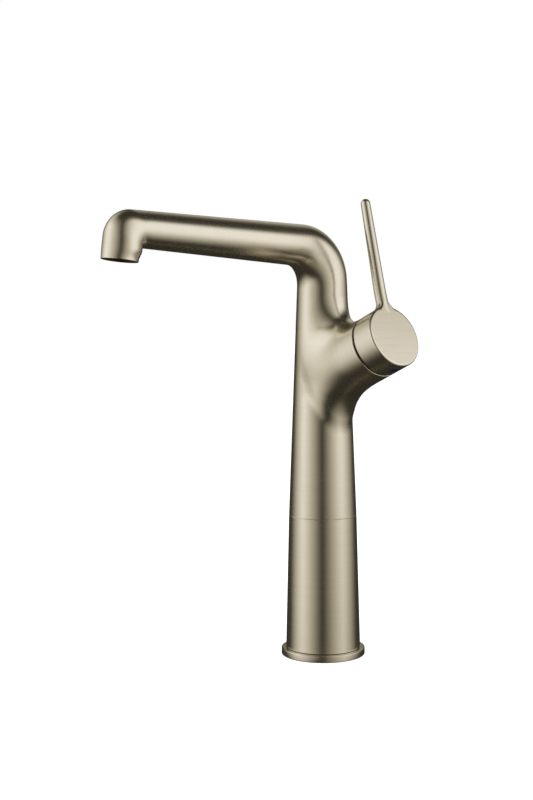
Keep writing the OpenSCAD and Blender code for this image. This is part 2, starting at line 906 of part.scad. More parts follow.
module grub_screw() {
    color(steel)
        on_lever()
            translate([0, 0, hub_mid_a])
                rotate([0, -90, 0])
                    translate([0, 0, grub_end])
                        difference() {
                            cylinder(r = grub_r, h = grub_len);
                            translate([0, 0, grub_len - grub_socket_depth])
                                cylinder(r = grub_socket / 2 / cos(30), h = grub_socket_depth + past, $fn = 6);
                        }
}

module index_plug() {
    dome_r = (plug_r * plug_r + plug_dome * plug_dome) / (2 * plug_dome);
    color(index_blue)
        on_lever()
            translate([0, 0, hub_mid_a])
                rotate([0, -90, 0])
                    intersection() {
                        translate([0, 0, plug_seat])
                            cylinder(r = plug_r, h = plug_depth + plug_dome + past);
                        translate([0, 0, branch_r + plug_dome - dome_r])
                            sphere(r = dome_r);
                    }
}

// ---------------------------------------------------------------- aerator

// Height measured back into the nozzle from its outlet
module in_nozzle(depth) {
    at_outlet()
        translate([0, 0, -depth])
            children();
}

module aerator_seal() {
    color(black_rubber)
        in_nozzle(aerator_recess + aerator_h + aerator_seal_h)
            ring(aerator_r, aerator_seal_bore_r, aerator_seal_h);
}

module aerator_housing() {
    color(steel)
        in_nozzle(aerator_recess + aerator_h)
            difference() {
                cylinder(r = aerator_r, h = aerator_h);
                translate([0, 0, -past])
                    cylinder(r = aerator_bore_in_r, h = aerator_h - aerator_lip_h + past);
                translate([0, 0, -past])
                    cylinder(r = aerator_bore_in_r - aerator_lip, h = aerator_h + 2 * past);
            }
}

module outlet_grid() {
    color(pale_plastic)
        in_nozzle(aerator_recess + aerator_lip_h + grid_h)
            difference() {
                cylinder(r = aerator_piece_r, h = grid_h);
                for (q = [-grid_rings : grid_rings])
                    for (p = [-grid_rings : grid_rings])
                        if (abs(p + q) <= grid_rings)
                            translate([grid_pitch * (p + q / 2), grid_pitch * q * sin(60), -past])
                                cylinder(r = grid_hole_r, h = grid_h + 2 * past, $fn = 20);
            }
}

module flow_regulator() {
    color(grey_plastic)
        in_nozzle(aerator_recess + aerator_lip_h + grid_h + regulator_h)
            difference() {
                cylinder(r = aerator_piece_r, h = regulator_h);
                for (i = [0 : regulator_slots - 1])
                    rotate([0, 0, 360 * i / regulator_slots])
                        translate([aerator_piece_r / 3, -regulator_slot_w / 2, -past])
                            cube([aerator_piece_r / 2, regulator_slot_w, regulator_h + 2 * past]);
            }
}

base_gasket();
base_flange();
riser_sleeve();
sleeve_o_ring();
body_casting();
cold_supply_tube();
hot_supply_tube();
cartridge_seals();
cartridge_base();
fixed_disc();
moving_disc();
disc_carrier();
cartridge_turret();
stem_pin();
cartridge_housing();
retaining_nut();
lever_stem();
lever_handle();
grub_screw();
index_plug();
aerator_seal();
flow_regulator();
outlet_grid();
aerator_housing();
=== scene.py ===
import json
import math

import bmesh
import bpy
import numpy as np
from mathutils import Matrix, Vector


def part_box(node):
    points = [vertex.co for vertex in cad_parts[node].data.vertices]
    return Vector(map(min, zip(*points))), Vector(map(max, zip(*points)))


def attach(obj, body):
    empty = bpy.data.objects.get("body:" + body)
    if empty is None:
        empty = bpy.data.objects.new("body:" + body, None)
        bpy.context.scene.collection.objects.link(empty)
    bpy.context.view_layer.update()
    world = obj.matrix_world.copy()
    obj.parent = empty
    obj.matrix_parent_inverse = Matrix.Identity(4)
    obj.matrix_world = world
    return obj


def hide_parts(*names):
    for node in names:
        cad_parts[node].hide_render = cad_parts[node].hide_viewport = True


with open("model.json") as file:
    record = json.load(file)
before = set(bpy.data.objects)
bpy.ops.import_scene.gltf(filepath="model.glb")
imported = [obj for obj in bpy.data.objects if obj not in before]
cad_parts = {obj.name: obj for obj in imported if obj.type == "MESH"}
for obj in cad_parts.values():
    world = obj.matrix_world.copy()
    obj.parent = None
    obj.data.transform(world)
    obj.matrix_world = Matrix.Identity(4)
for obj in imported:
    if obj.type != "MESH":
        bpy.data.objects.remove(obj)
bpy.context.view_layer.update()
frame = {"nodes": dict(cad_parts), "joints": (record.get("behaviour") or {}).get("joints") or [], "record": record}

MM = 0.001

# ---------------------------------------------------------------- the frame's own places

joints = {joint["name"]: joint for joint in frame["joints"]}
pivot = np.array(joints["temperature_turn"]["pos_m"], float)
outwards = np.array(joints["temperature_turn"]["axis"], float)
tilt_axis = np.array(joints["flow_tilt"]["axis"], float)
right = np.array([1.0, 0.0, 0.0])
sideways = np.array([0.0, 1.0, 0.0])
upwards = np.array([0.0, 0.0, 1.0])
branch_up = np.cross(outwards, sideways)
branch_root = pivot - outwards * (pivot[0] / outwards[0])
lever_side = -tilt_axis
lever_up = np.cross(lever_side, outwards)
sleeve_low, sleeve_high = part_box("riser_sleeve")
flange_low, flange_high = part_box("base_flange")
gasket_low, gasket_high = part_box("base_gasket")
seam_z = sleeve_high.z
flange_top = flange_high.z
flange_r = flange_high.x

# ---------------------------------------------------------------- the casting's sizes

# A name that ends in _r is a radius, in _a a distance along the branch from its root, and in _rows a
# number of rows in a grid. A taper is what a radius loses in each metre.
column_foot_r = 22.6 * MM
column_rows = 16
neck_r = 16.4 * MM
neck_z = 250.8 * MM
neck_rows = 4
column_taper = (column_foot_r - neck_r) / (neck_z - seam_z)
seam_chamfer = 0.4 * MM
spigot_r = 18.9 * MM
spigot_len = 6 * MM
groove_r = 17.4 * MM
groove_low = 4 * MM
groove_high = 2 * MM
bend_r = 23 * MM
bend_outer_r = 36.5 * MM
bend_inner_r = 15 * MM
bend_rows = 56
hinge_set_back = 0.002
spout_rise = math.radians(3.85)
bend_turn = math.pi / 2 - spout_rise
spout_len = 135.5 * MM
spout_root_r = 13.6 * MM
spout_tip_r = 11.1 * MM
spout_taper = (spout_root_r - spout_tip_r) / spout_len
spout_rows = 34
tip_bend_r = 5.7 * MM
tip_turn = math.radians(85.75)
nozzle_r = 11.25 * MM
nozzle_len = 14.3 * MM
nozzle_rows = 36
rim_round = 0.35 * MM
aerator_bore_r = 9.4 * MM
aerator_bore_depth = 10.4 * MM
inner_corner = 2.4 * MM
nozzle_flare = 0.85 * MM
nozzle_flare_end = 1 * MM
bore_reach = 0.1 * MM
branch_r = 20.5 * MM
branch_len = 55 * MM
mouth_chamfer = 0.5 * MM
mouth_lead_r = 19.4 * MM
mouth_lead = 3 * MM
mouth_rows = 8
nut_bore_r = 16.5 * MM
nut_bore_a = 43.1 * MM
cartridge_bore_r = 14.1 * MM
seat_a = 19.1 * MM
fillet_under = 27.5 * MM
fillet_over = 17.5 * MM
fillet_power = 0.6
fillet_change_low = 178 * MM
fillet_change_high = 206 * MM
fillet_fade = 9 * MM
fillet_faded = 0.98
fillet_shares = (0.6, 0.8, 1.0, 1.2, 1.4)
branch_tuck = 1.6 * MM
branch_tuck_len = 40 * MM
fork_low = 146 * MM
fork_high = 240 * MM
fork_out = 51 * MM
fork_low_rows = 40
fork_high_rows = 44
fork_out_rows = 36
fork_middle = branch_root + 8 * MM * outwards
fork_half_width = 19.2 * MM
crotch_under = np.array([23.7, 0, 169.3]) * MM
crotch_over = np.array([22.6, 0, 224.3]) * MM
crotch_behind = np.array([-19, 0, 187]) * MM

# ---------------------------------------------------------------- the lever's sizes, from the pivot outwards

face_radii = (0, 4, 8, 12, 14, 15, 16, 17, 17.8, 18.6)
face_level_fit = 0.03 * MM
face_edge = 0.5 * MM
hub_back = 15.3 * MM
hub_face = 31.4 * MM
hub_round = 1.2 * MM
hub_back_round = 0.3 * MM
hub_hollow_r = 25.07 * MM
hub_boss_r = 6 * MM
hub_boss_start = 17 * MM
hub_rim_rows = 7
hub_side_rows = 21
hub_back_rows = 4
hub_hollow_rows = 24
stem_half = 3.55 * MM
stem_end = 29 * MM
pin_level = 26 * MM
pin_root_r = 4.1 * MM
pin_tip_r = 3.1 * MM
pin_lean = math.radians(7)
pin_sink = 7.8 * MM
pin_len = 74 * MM
pin_fillet = 4.4 * MM
front_fillet = 3 * MM
pin_push = 1.0 * MM
pin_push_len = 14 * MM
pin_root_len = 6.5 * MM
pin_rows = 60
pin_dome_rows = 9
pin_dome_start = 0.1
pin_root_rows = 22
pin_root_rounds = 6
pin_window_first = 5
pin_window_down_side = 14
pin_window_half = 11
plug_level = 23.3 * MM
plug_r = 3.25 * MM
plug_fit = 0.1 * MM
plug_depth = 2.2 * MM
plug_dome = 0.5 * MM
plug_back = 0.05 * MM
plug_set_in = 0.1 * MM
plug_bevel = 0.2 * MM
plug_dome_rows = 8
plug_skirt_rows = 5
plug_bore_rows = 4
plug_window_half = 6
plug_window_margin = 1.4 * MM

# ---------------------------------------------------------------- the foot's sizes

sleeve_lip_r = 21.4 * MM
lip_fit = 0.1 * MM
sleeve_core_r = 19.6 * MM
sleeve_bore_r = 19 * MM
sleeve_seat_h = 14 * MM
sleeve_foot_round = 0.35 * MM
sleeve_side_start = 1 * MM
sleeve_rows = 14
flange_round = 0.8 * MM
flange_foot_round = 0.5 * MM
gasket_in_r = 20 * MM
gasket_fit = 0.1 * MM
gasket_round = 0.3 * MM

# ---------------------------------------------------------------- grids and meshes

around_n = 144
turn = np.linspace(0, 2 * math.pi, around_n, endpoint=False)
weld_reach = 2e-6
flat_reach = 1e-6
crease_angle = math.radians(38)


def column(values):
    """An array of numbers as a column, ready to multiply vectors."""
    return np.asarray(values)[..., None]


def grid_quads(rows, columns, closed):
    """Quads between the neighbours of a grid of points. A closed grid joins its last column to its first."""
    index = np.arange(rows * columns).reshape(rows, columns)
    if closed:
        index = np.hstack([index, index[:, :1]])
    corners = [index[:-1, :-1], index[:-1, 1:], index[1:, 1:], index[1:, :-1]]
    return np.stack(corners, axis=-1).reshape(-1, 4)


def placed(name, data):
    """A new object in the scene."""
    thing = bpy.data.objects.new(name, data)
    bpy.context.scene.collection.objects.link(thing)
    return thing


class Skin:
    """Grids of points gathered into one closed mesh, each point with its place on the straightened piece."""

    def __init__(self):
        self.points = []
        self.straight = []
        self.quads = []
        self.count = 0

    def add(self, points, straight=None, closed=True, windows=()):
        """Adds a grid; each window leaves out the quads between two rows and two columns."""
        rows, columns = points.shape[:2]
        quads = grid_quads(rows, columns, closed)
        keep = np.ones((rows - 1, columns if closed else columns - 1), bool)
        for first_row, last_row, first_column, last_column in windows:
            keep[first_row:last_row, first_column:last_column] = False
        quads = quads[keep.ravel()]
        self.points.append(points.reshape(-1, 3))
        self.straight.append((points if straight is None else straight).reshape(-1, 3))
        self.quads.append(quads + self.count)
        self.count += rows * columns

    def piece(self, name):
        """The gathered grids as one object: doubles welded, flat quads closed up, faces outwards."""
        mesh = bpy.data.meshes.new(name)
        points = np.concatenate(self.points)
        mesh.from_pydata(points, [], np.concatenate(self.quads))
        straight = mesh.attributes.new("straight", "FLOAT_VECTOR", "POINT")
        straight.data.foreach_set("vector", np.concatenate(self.straight).astype(np.float32).ravel())
        shape = bmesh.new()
        shape.from_mesh(mesh)
        bmesh.ops.remove_doubles(shape, verts=shape.verts, dist=weld_reach)
        bmesh.ops.dissolve_degenerate(shape, dist=flat_reach, edges=shape.edges)
        bmesh.ops.recalc_face_normals(shape, faces=shape.faces)
        shape.to_mesh(mesh)
        shape.free()
        mesh.shade_smooth()
        mesh.set_sharp_from_angle(angle=crease_angle)
        return placed(name, mesh)


def rings(centres, across, over, radii, angles=turn):
    """Rings of points: each centre plus its radius times cosine along across and sine along over."""
    wave_x = np.cos(angles)[None, :, None]
    wave_y = np.sin(angles)[None, :, None]
    radii = np.asarray(radii)[:, None, None]
    return centres[:, None, :] + radii * (wave_x * across[:, None, :] + wave_y * over[:, None, :])


def turned_rings(profile, origin=None, axis=None, across=None):
    """A profile of (radius, level) pairs turned about an axis, as rings."""
    origin = np.zeros(3) if origin is None else origin
    axis = upwards if axis is None else axis
    across = right if across is None else across
    profile = np.asarray(profile, float)
    centres = origin + column(profile[:, 1]) * axis
    over = np.cross(axis, across)
    return rings(centres, across[None], over[None], profile[:, 0])


def corner(radius, level, bend, start, end, steps=6):
    """Points of a rounded edge: part of a circle about (radius, level), between two angles in degrees."""
    angle = np.radians(np.linspace(start, end, steps))
    return list(zip(radius + bend * np.cos(angle), level + bend * np.sin(angle)))


def along(start, end, count):
    """Points of a straight stretch of a profile, its two ends included."""
    share = column(np.linspace(0, 1, count))
    return [tuple(point) for point in np.asarray(start) * (1 - share) + np.asarray(end) * share]


def between(first, last, count):
    """A grid that runs straight from one closed line of points to another."""
    share = np.linspace(0, 1, count)[:, None, None]
    return first[None] * (1 - share) + last[None] * share


# ---------------------------------------------------------------- distance fields, for melted shapes

field_step = 2e-6
least_length = 1e-12
least_cosine = -0.98
most_cosine = 0.9995
longest_move = 2 * MM
least_slope_squared = 0.25


def soft_step(values, start, end):
    """A step from 0 at start to 1 at end: three times the share squared less twice its cube."""
    share = np.clip((values - start) / (end - start), 0, 1)
    return share * share * (3 - 2 * share)


def slope(field, points):
    """The direction in which a distance field grows, by differences along the three axes."""
    parts = [field(points + field_step * axis) - field(points - field_step * axis) for axis in np.eye(3)]
    return np.stack(parts, axis=-1) / (2 * field_step)


def unit(vectors):
    """The same vectors at length 1."""
    return vectors / np.maximum(np.linalg.norm(vectors, axis=-1, keepdims=True), least_length)


def melted(first, second, radius, shares=(1.0,)):
    """Two solids joined by a rolled fillet: the surface of a ball that touches both of them. The ball's
    radius is given by the point and by the cosine of the angle between the surfaces' directions, and its
    middle lies where both distances, taken as straight, equal that radius. The fillets of several shares of
    the radius are averaged, which softens the fillet's edges."""

    def field(points):
        a = first(points)
        b = second(points)
        cosine = np.sum(unit(slope(first, points)) * unit(slope(second, points)), axis=-1)
        cosine = np.clip(cosine, least_cosine, most_cosine)
        total = 0
        for share in shares:
            ball = radius(points, cosine) * share
            near_a = ball - a
            near_b = ball - b
            part_a = (near_a - cosine * near_b) / (1 - cosine**2)
            part_b = (near_b - cosine * near_a) / (1 - cosine**2)
            rolled = ball - np.sqrt(np.maximum(part_a * near_a + part_b * near_b, 0))
            total = total + np.where((part_a > 0) & (part_b > 0), rolled, np.minimum(a, b))
        return total / len(shares)

    return field


def shared(first, second, radius):
    """What two solids have in common, with the edge between them rounded by a radius."""
    outside = melted(lambda points: -first(points), lambda points: -second(points), radius)
    return lambda points: -outside(points)


def settled(field, points, rounds=10):
    """Points moved down the slope of a distance field until they lie on its surface."""
    points = points.copy()
    for _ in range(rounds):
        lean = slope(field, points)
        size = np.maximum(np.sum(lean**2, axis=-1), least_slope_squared)
        points -= lean * column(np.clip(field(points), -longest_move, longest_move) / size)
    return points


# ---------------------------------------------------------------- the casting: column, branch and spout


def column_field(points):
    """Distance to the tapered column: the distance from its axis less the radius at that height."""
    radius = column_foot_r - column_taper * (points[..., 2] - seam_z)
    return np.hypot(points[..., 0], points[..., 1]) - radius


def branch_field(points):
    """Distance to the branch, a round bar that thins to a domed end inside the column."""
    place = points - branch_root
    level = place @ outwards
    radius = branch_r - branch_tuck * (1 - soft_step(level, 0, branch_tuck_len))
    off_axis = np.linalg.norm(place - column(level) * outwards, axis=-1)
    return np.hypot(off_axis, np.minimum(level, 0)) - radius


def fork_fillet(points, cosine):
    """The radius of the fork's fillet: wide under the branch, tighter over it, and fading away behind the
    branch's root. It grows where the surfaces are nearly in line, by a power of the half angle's tangent."""
    over = soft_step(points[..., 2], fillet_change_low, fillet_change_high)
    behind = 1 - soft_step((points - branch_root) @ outwards, -fillet_fade, fillet_fade)
    radius = fillet_under + (fillet_over - fillet_under) * over
    return radius * (1 - fillet_faded * behind) / ((1 - cosine) / (1 + cosine)) ** (fillet_power / 2)


casting_field = melted(column_field, branch_field, fork_fillet, fillet_shares)


def fork_line(middle, half_width, front, back, angles):
    """A closed line through both sides of the fork: the cosine of the turn bends its front half to one
    crotch and its back half to another, and the sine carries it from side to side."""
    wave = np.cos(angles)
    forwards = column(np.maximum(wave, 0)) * (front - middle)
    backwards = column(np.maximum(-wave, 0)) * (back - middle)
    return middle + column(np.sin(angles)) * half_width * sideways + forwards + backwards


def branch_place(points):
    """Places near the branch as if it stood straight up on its root, for the grain."""
    place = points - branch_root
    return np.stack([-(place @ branch_up), place @ sideways, place @ outwards], axis=-1) + branch_root


def column_rings(levels):
    """Rings of the tapered column at these heights."""
    levels = np.asarray(levels)
    radii = column_foot_r - column_taper * (levels - seam_z)
    return turned_rings(np.stack([radii, levels], axis=-1))


def fork(skin):
    """The three legs of the fork between column, neck and branch. Each is a grid from a round ring to a line
    through two crotches, laid on the melted surface, so that the legs meet along shared lines."""
    low_ring = column_rings([fork_low])[0]
    high_ring = column_rings([fork_high])[0]
    out_centre = (branch_root + fork_out * outwards)[None]
    out_ring = rings(out_centre, branch_up[None], sideways[None], [branch_r])[0]
    low_line = fork_line(fork_middle, fork_half_width, crotch_under, crotch_behind, turn)
    high_line = fork_line(fork_middle, fork_half_width, crotch_over, crotch_behind, turn)
    out_line = fork_line(fork_middle, fork_half_width, crotch_over, crotch_under, turn)
    skin.add(settled(casting_field, between(low_ring, low_line, fork_low_rows)))
    skin.add(settled(casting_field, between(high_ring, high_line, fork_high_rows)))
    leg = settled(casting_field, between(out_ring, out_line, fork_out_rows))
    share = np.linspace(0, 1, len(leg))[:, None, None]
    skin.add(leg, branch_place(leg) * (1 - share) + leg * share)


def way_at(angle):
    """The way in the spout's plane that rises by an angle: its cosine forwards and its sine upwards."""
    return np.array([math.cos(angle), math.sin(angle)])


def inner_side(way):
    """A way in the spout's plane turned a quarter turn clockwise, towards the inner side of its bends."""
    return np.array([way[1], -way[0]])


def meeting(first, second):
    """The point where two lines in a plane meet. Each line is a point and its way."""
    ways = np.stack([first[1], -second[1]], axis=1)
    share = np.linalg.solve(ways, second[0] - first[0])
    return first[0] + share[0] * first[1]


def arc_middle(first, second, radius):
    """The middle of the arc that rounds the corner between two lines, on their inner side."""
    moved = [(point + radius * inner_side(way), way) for point, way in (first, second)]
    return meeting(*moved)


def bent_reach(hinge, fan, first, second, radius):
    """Distances from a hinge, along each way of a fan, to two straight lines with an arc between them."""
    middle = arc_middle(first, second, radius)
    to_first = (first[0] - hinge) @ inner_side(first[1]) / (fan @ inner_side(first[1]))
    to_second = (second[0] - hinge) @ inner_side(second[1]) / (fan @ inner_side(second[1]))
    off = hinge - middle
    half = fan @ off
    to_arc = -half + np.sqrt(np.maximum(half**2 - off @ off + radius**2, 0))
    before = (hinge + column(to_first) * fan - middle) @ first[1] < 0
    after = (hinge + column(to_second) * fan - middle) @ second[1] > 0
    return np.where(before, to_first, np.where(after, to_second, to_arc))


def leg_lines(start, way, radius, taper):
    """The inner and the outer line of a tapered leg of the tube, in the spout's plane."""
    side = inner_side(way)
    inner = (start + radius * side, unit(way - taper * side))
    outer = (start - radius * side, unit(way + taper * side))
    return inner, outer


def tube_bend(first_leg, second_leg, inner_r, outer_r):
    """Rings of a bend between two tapered legs of the tube. The rings fan about a hinge on the inner side.
    Each is an ellipse that reaches from the inner line to the outer one, both with a round corner of their
    own, and its width runs from the first leg's to the second's with both tapers kept, as a cubic curve. A
    leg is (start, way, radius, taper). Returns the middles, the fan's ways, the half heights and the half
    widths, all in the spout's plane."""
    first_inner, first_outer = leg_lines(*first_leg)
    second_inner, second_outer = leg_lines(*second_leg)
    first_way, first_taper = first_leg[1], first_leg[3]
    second_way, second_taper = second_leg[1], second_leg[3]
    hinge = arc_middle(first_inner, second_inner, inner_r)
    hinge = hinge - first_way * inner_r * (abs(first_taper) + hinge_set_back)
    whole = math.atan2(first_way[1], first_way[0]) - math.atan2(second_way[1], second_way[0])
    angle = np.linspace(0, whole, bend_rows)
    back = -inner_side(first_way)
    fan = column(np.cos(angle)) * back + column(np.sin(angle)) * first_way
    near = bent_reach(hinge, fan, first_inner, second_inner, inner_r)
    far = bent_reach(hinge, fan, first_outer, second_outer, outer_r)
    middles = hinge + column((near + far) / 2) * fan
    half_height = (far - near) / 2
    length = np.sum(np.linalg.norm(np.diff(middles, axis=0), axis=-1))
    share = angle / whole
    rise = soft_step(share, 0, 1)
    start_pull = -first_taper * length * share * (1 - share) ** 2
    end_pull = second_taper * length * share * share * (1 - share)
    start_r, end_r = half_height[0], half_height[-1]
    half_width = start_r + (end_r - start_r) * rise + start_pull + end_pull
    return middles, fan, half_height, half_width


def in_frame(places):
    """Places or ways in the spout's plane, forwards and upwards, as vectors of the frame."""
    places = np.asarray(places)
    return column(places[..., 1]) * upwards - column(places[..., 0]) * sideways


def bend_rings(middles, fan, half_height, half_width):
    """The rings of a bend in the frame."""
    wave_x = np.cos(turn)[None, :, None]
    wave_y = np.sin(turn)[None, :, None]
    height = half_height[:, None, None] * in_frame(fan)[:, None, :]
    return in_frame(middles)[:, None, :] + height * wave_y + right * half_width[:, None, None] * wave_x


def lengths_along(middles):
    """How far each middle lies along the line through all of them."""
    return np.concatenate([[0], np.cumsum(np.linalg.norm(np.diff(middles, axis=0), axis=-1))])


def casting():
    """The one-piece casting: column, neck, spout, nozzle and branch. Round profiles and bends follow one
    another, and it is closed at its foot, in the nozzle and at the valve's seat."""
    skin = Skin()
    foot_z = seam_z - spigot_len
    foot = [
        (0, foot_z),
        (spigot_r - rim_round, foot_z),
        *corner(spigot_r - rim_round, foot_z + rim_round, rim_round, -90, 0),
        (spigot_r, seam_z - groove_low),
        (groove_r, seam_z - groove_low),
        (groove_r, seam_z - groove_high),
        (spigot_r, seam_z - groove_high),
        (spigot_r, seam_z),
        (column_foot_r - seam_chamfer, seam_z),
        (column_foot_r - column_taper * seam_chamfer, seam_z + seam_chamfer),
    ]
    skin.add(turned_rings(foot))
    skin.add(column_rings(np.linspace(seam_z + seam_chamfer, fork_low, column_rows)))
    fork(skin)
    spout_way = way_at(spout_rise)
    spout_start = np.array([bend_r * (1 - math.cos(bend_turn)), neck_z + bend_r * math.sin(bend_turn)])
    neck_leg = (np.array([0, neck_z]), np.array([0.0, 1.0]), neck_r, column_taper)
    spout_leg = (spout_start, spout_way, spout_root_r, spout_taper)
    middles, fan, half_height, half_width = tube_bend(neck_leg, spout_leg, bend_inner_r, bend_outer_r)
    bend_start = middles[0, 1]
    skin.add(column_rings(np.linspace(fork_high, bend_start, neck_rows)))
    levels = bend_start + lengths_along(middles)
    bend = bend_rings(middles, fan, half_height, half_width)
    skin.add(bend, turned_rings(np.stack([half_width, levels], axis=-1)))

    nozzle_way = way_at(spout_rise - tip_turn)
    spout_tip = spout_start + spout_len * spout_way
    tip_hub = spout_tip + tip_bend_r * inner_side(spout_way)
    nozzle_start = tip_hub - tip_bend_r * inner_side(nozzle_way)
    tip_leg = (spout_tip, spout_way, spout_tip_r, spout_taper)
    flare_way = inner_side(nozzle_way)
    nozzle_leg = (nozzle_start + nozzle_flare * flare_way, nozzle_way, nozzle_r + nozzle_flare, 0.0)
    tip_bend = tube_bend(tip_leg, nozzle_leg, inner_corner, tip_bend_r + spout_tip_r)
    tip_middles, tip_fan, tip_height, tip_width = tip_bend
    first = (middles[-1] - spout_start) @ spout_way
    last = (tip_middles[0] - spout_start) @ spout_way
    travel = np.linspace(first, last, spout_rows)
    radii = spout_root_r - spout_taper * travel
    centres = in_frame(spout_start + column(travel) * spout_way)
    over = in_frame(-inner_side(spout_way))
    points = rings(centres, right[None], over[None], radii)
    levels = levels[-1] + travel - first
    skin.add(points, turned_rings(np.stack([radii, levels], axis=-1)))
    levels = levels[-1] + lengths_along(tip_middles)
    elbow = bend_rings(tip_middles, tip_fan, tip_height, tip_width)
    skin.add(elbow, turned_rings(np.stack([tip_width, levels], axis=-1)))

    nozzle_axis = in_frame(nozzle_way)
    outlet = in_frame(nozzle_start) + nozzle_len * nozzle_axis
    drop = (in_frame(tip_middles[-1]) - outlet) @ nozzle_axis
    height = np.linspace(drop, -rim_round, nozzle_rows)
    flare = nozzle_flare * soft_step(height, -nozzle_flare_end, drop)
    centres = outlet + column(height) * nozzle_axis + column(flare) * in_frame(flare_way)
    radii = nozzle_r + flare
    over = np.cross(nozzle_axis, right)
    points = rings(centres, right[None], over[None], radii)
    flat = turned_rings(np.stack([radii, levels[-1] + height - drop], axis=-1))
    skin.add(points[:, ::-1], flat[:, ::-1])
    wall = [
        *corner(nozzle_r - rim_round, -rim_round, rim_round, 0, 90),
        *corner(aerator_bore_r + rim_round, -rim_round, rim_round, 90, 180),
        (aerator_bore_r, -aerator_bore_depth),
        (0, -aerator_bore_depth),
    ]
    points = turned_rings(wall, outlet, nozzle_axis, right)
    flat = turned_rings([(r, levels[-1] + z - drop) for r, z in wall])
    skin.add(points[:, ::-1], flat[:, ::-1])

    mouth = [
        *along((branch_r, fork_out), (branch_r, branch_len - mouth_chamfer), mouth_rows),
        *corner(branch_r - mouth_chamfer, branch_len - mouth_chamfer, mouth_chamfer, 0, 90),
        (mouth_lead_r, branch_len),
        (nut_bore_r, branch_len - mouth_lead),
        (nut_bore_r, nut_bore_a),
        (cartridge_bore_r, nut_bore_a),
        (cartridge_bore_r, seat_a),
        (0, seat_a),
    ]
    points = turned_rings(mouth, branch_root, outwards, branch_up)[:, ::-1]
    skin.add(points, branch_place(points))
    return skin.piece("mixer_casting")


# ---------------------------------------------------------------- the lever: hub, pin and index plug


def on_lever(up, side, out):
    """Places from distances up the lever, to its side and out from the pivot."""
    return pivot + column(up) * lever_up + column(side) * lever_side + column(out) * outwards


def lever_place(points):
    """Distances up the lever, to its side and out from the pivot, as vectors."""
    place = points - pivot
    return np.stack([place @ lever_up, place @ lever_side, place @ outwards], axis=-1)


def hub_side_field(points):
    """Distance to the hub's round side, as if it had no ends."""
    place = lever_place(points)
    return np.hypot(place[..., 0], place[..., 1]) - branch_r


def face_field(points):
    """Distance to the plane of the hub's face."""
    return (points - pivot) @ outwards - hub_face


pin_foot = on_lever(branch_r - pin_sink, 0.0, pin_level)
pin_way = math.cos(pin_lean) * lever_up + math.sin(pin_lean) * outwards
pin_front = math.cos(pin_lean) * outwards - math.sin(pin_lean) * lever_up
pin_whole = pin_sink + pin_len
pin_taper = (pin_root_r - pin_tip_r) / (pin_whole - pin_tip_r)


def pin_middle(level):
    """The pin's middle line: straight, and pushed out towards the hub's face near its root."""
    push = pin_push * (1 - soft_step(level, 0, pin_sink + pin_push_len))
    return pin_foot + column(level) * pin_way + column(push) * pin_front


def pin_field(points):
    """Distance to the tapered pin: the distance from its middle line less the radius at that height."""
    level = (points - pin_foot) @ pin_way
    off_axis = np.linalg.norm(points - pin_middle(level), axis=-1)
    return off_axis - (pin_root_r - pin_taper * level)


pin_on_side = melted(hub_side_field, pin_field, lambda points, cosine: pin_fillet)
cut_to_face = shared(pin_on_side, face_field, lambda points, cosine: hub_round)
lever_field = melted(cut_to_face, pin_field, lambda points, cosine: front_fillet)


def window_line(points, window):
    """The closed line of grid points around a window, from its first corner along the first row."""
    first_row, last_row, first_column, last_column = window
    top = points[first_row, first_column:last_column]
    far = points[first_row:last_row, last_column]
    foot = points[last_row, last_column:first_column:-1]
    near = points[last_row:first_row:-1, first_column]
    return np.concatenate([top, far, foot, near])


def facing_angles(points, centre, across, over):
    """The direction of each point around a centre, as angles from across towards over."""
    place = points - centre
    return np.arctan2(place @ over, place @ across)


def square_ring(half, level):
    """A square ring around the lever's axis, with one point for each direction of turn."""
    reach = half / np.maximum(np.abs(np.cos(turn)), np.abs(np.sin(turn)))
    return on_lever(reach * np.sin(turn), -reach * np.cos(turn), np.full(around_n, level))


def hub_rings():
    """The hub's outline turned about the lever's axis: from the centre of its face over the rounded rim and
    the side to the back edge, then the hollow that clears the branch, the boss and the square socket of the
    stem. Returns the rings with the rows that the pin's and the plug's windows lie between."""
    flat = [(radius * MM, hub_face) for radius in face_radii]
    rim = corner(branch_r - hub_round, hub_face - hub_round, hub_round, 90, 0, hub_rim_rows)
    side_start = hub_face - hub_round
    side_end = hub_back + hub_back_round
    side = along((branch_r, side_start), (branch_r, side_end), hub_side_rows)[1:]
    back = corner(branch_r - hub_back_round, side_end, hub_back_round, 0, -90, hub_back_rows)[1:]
    mouth_angle = math.acos(hub_back / hub_hollow_r)
    boss_angle = math.asin(hub_boss_r / hub_hollow_r)
    arc = np.linspace(mouth_angle, boss_angle, hub_hollow_rows)
    hollow = list(zip(hub_hollow_r * np.sin(arc), hub_hollow_r * np.cos(arc)))
    boss = [(hub_boss_r, hub_boss_start)]
    profile = flat + rim + side + back + hollow + boss
    round_rings = turned_rings(profile, pivot, outwards, -lever_side)
    socket = [(stem_half, hub_boss_start), (stem_half, stem_end), (0, stem_end)]
    square_rings = np.array([square_ring(half, level) for half, level in socket])
    first_side = len(flat) + len(rim)
    pin_span = (pin_window_first, first_side + pin_window_down_side)
    side_levels = np.array([level for _, level in side])
    near_plug = first_side + np.flatnonzero(np.abs(side_levels - plug_level) < plug_r + plug_window_margin)
    plug_span = (near_plug[0], near_plug[-1])
    return np.concatenate([round_rings, square_rings]), pin_span, plug_span


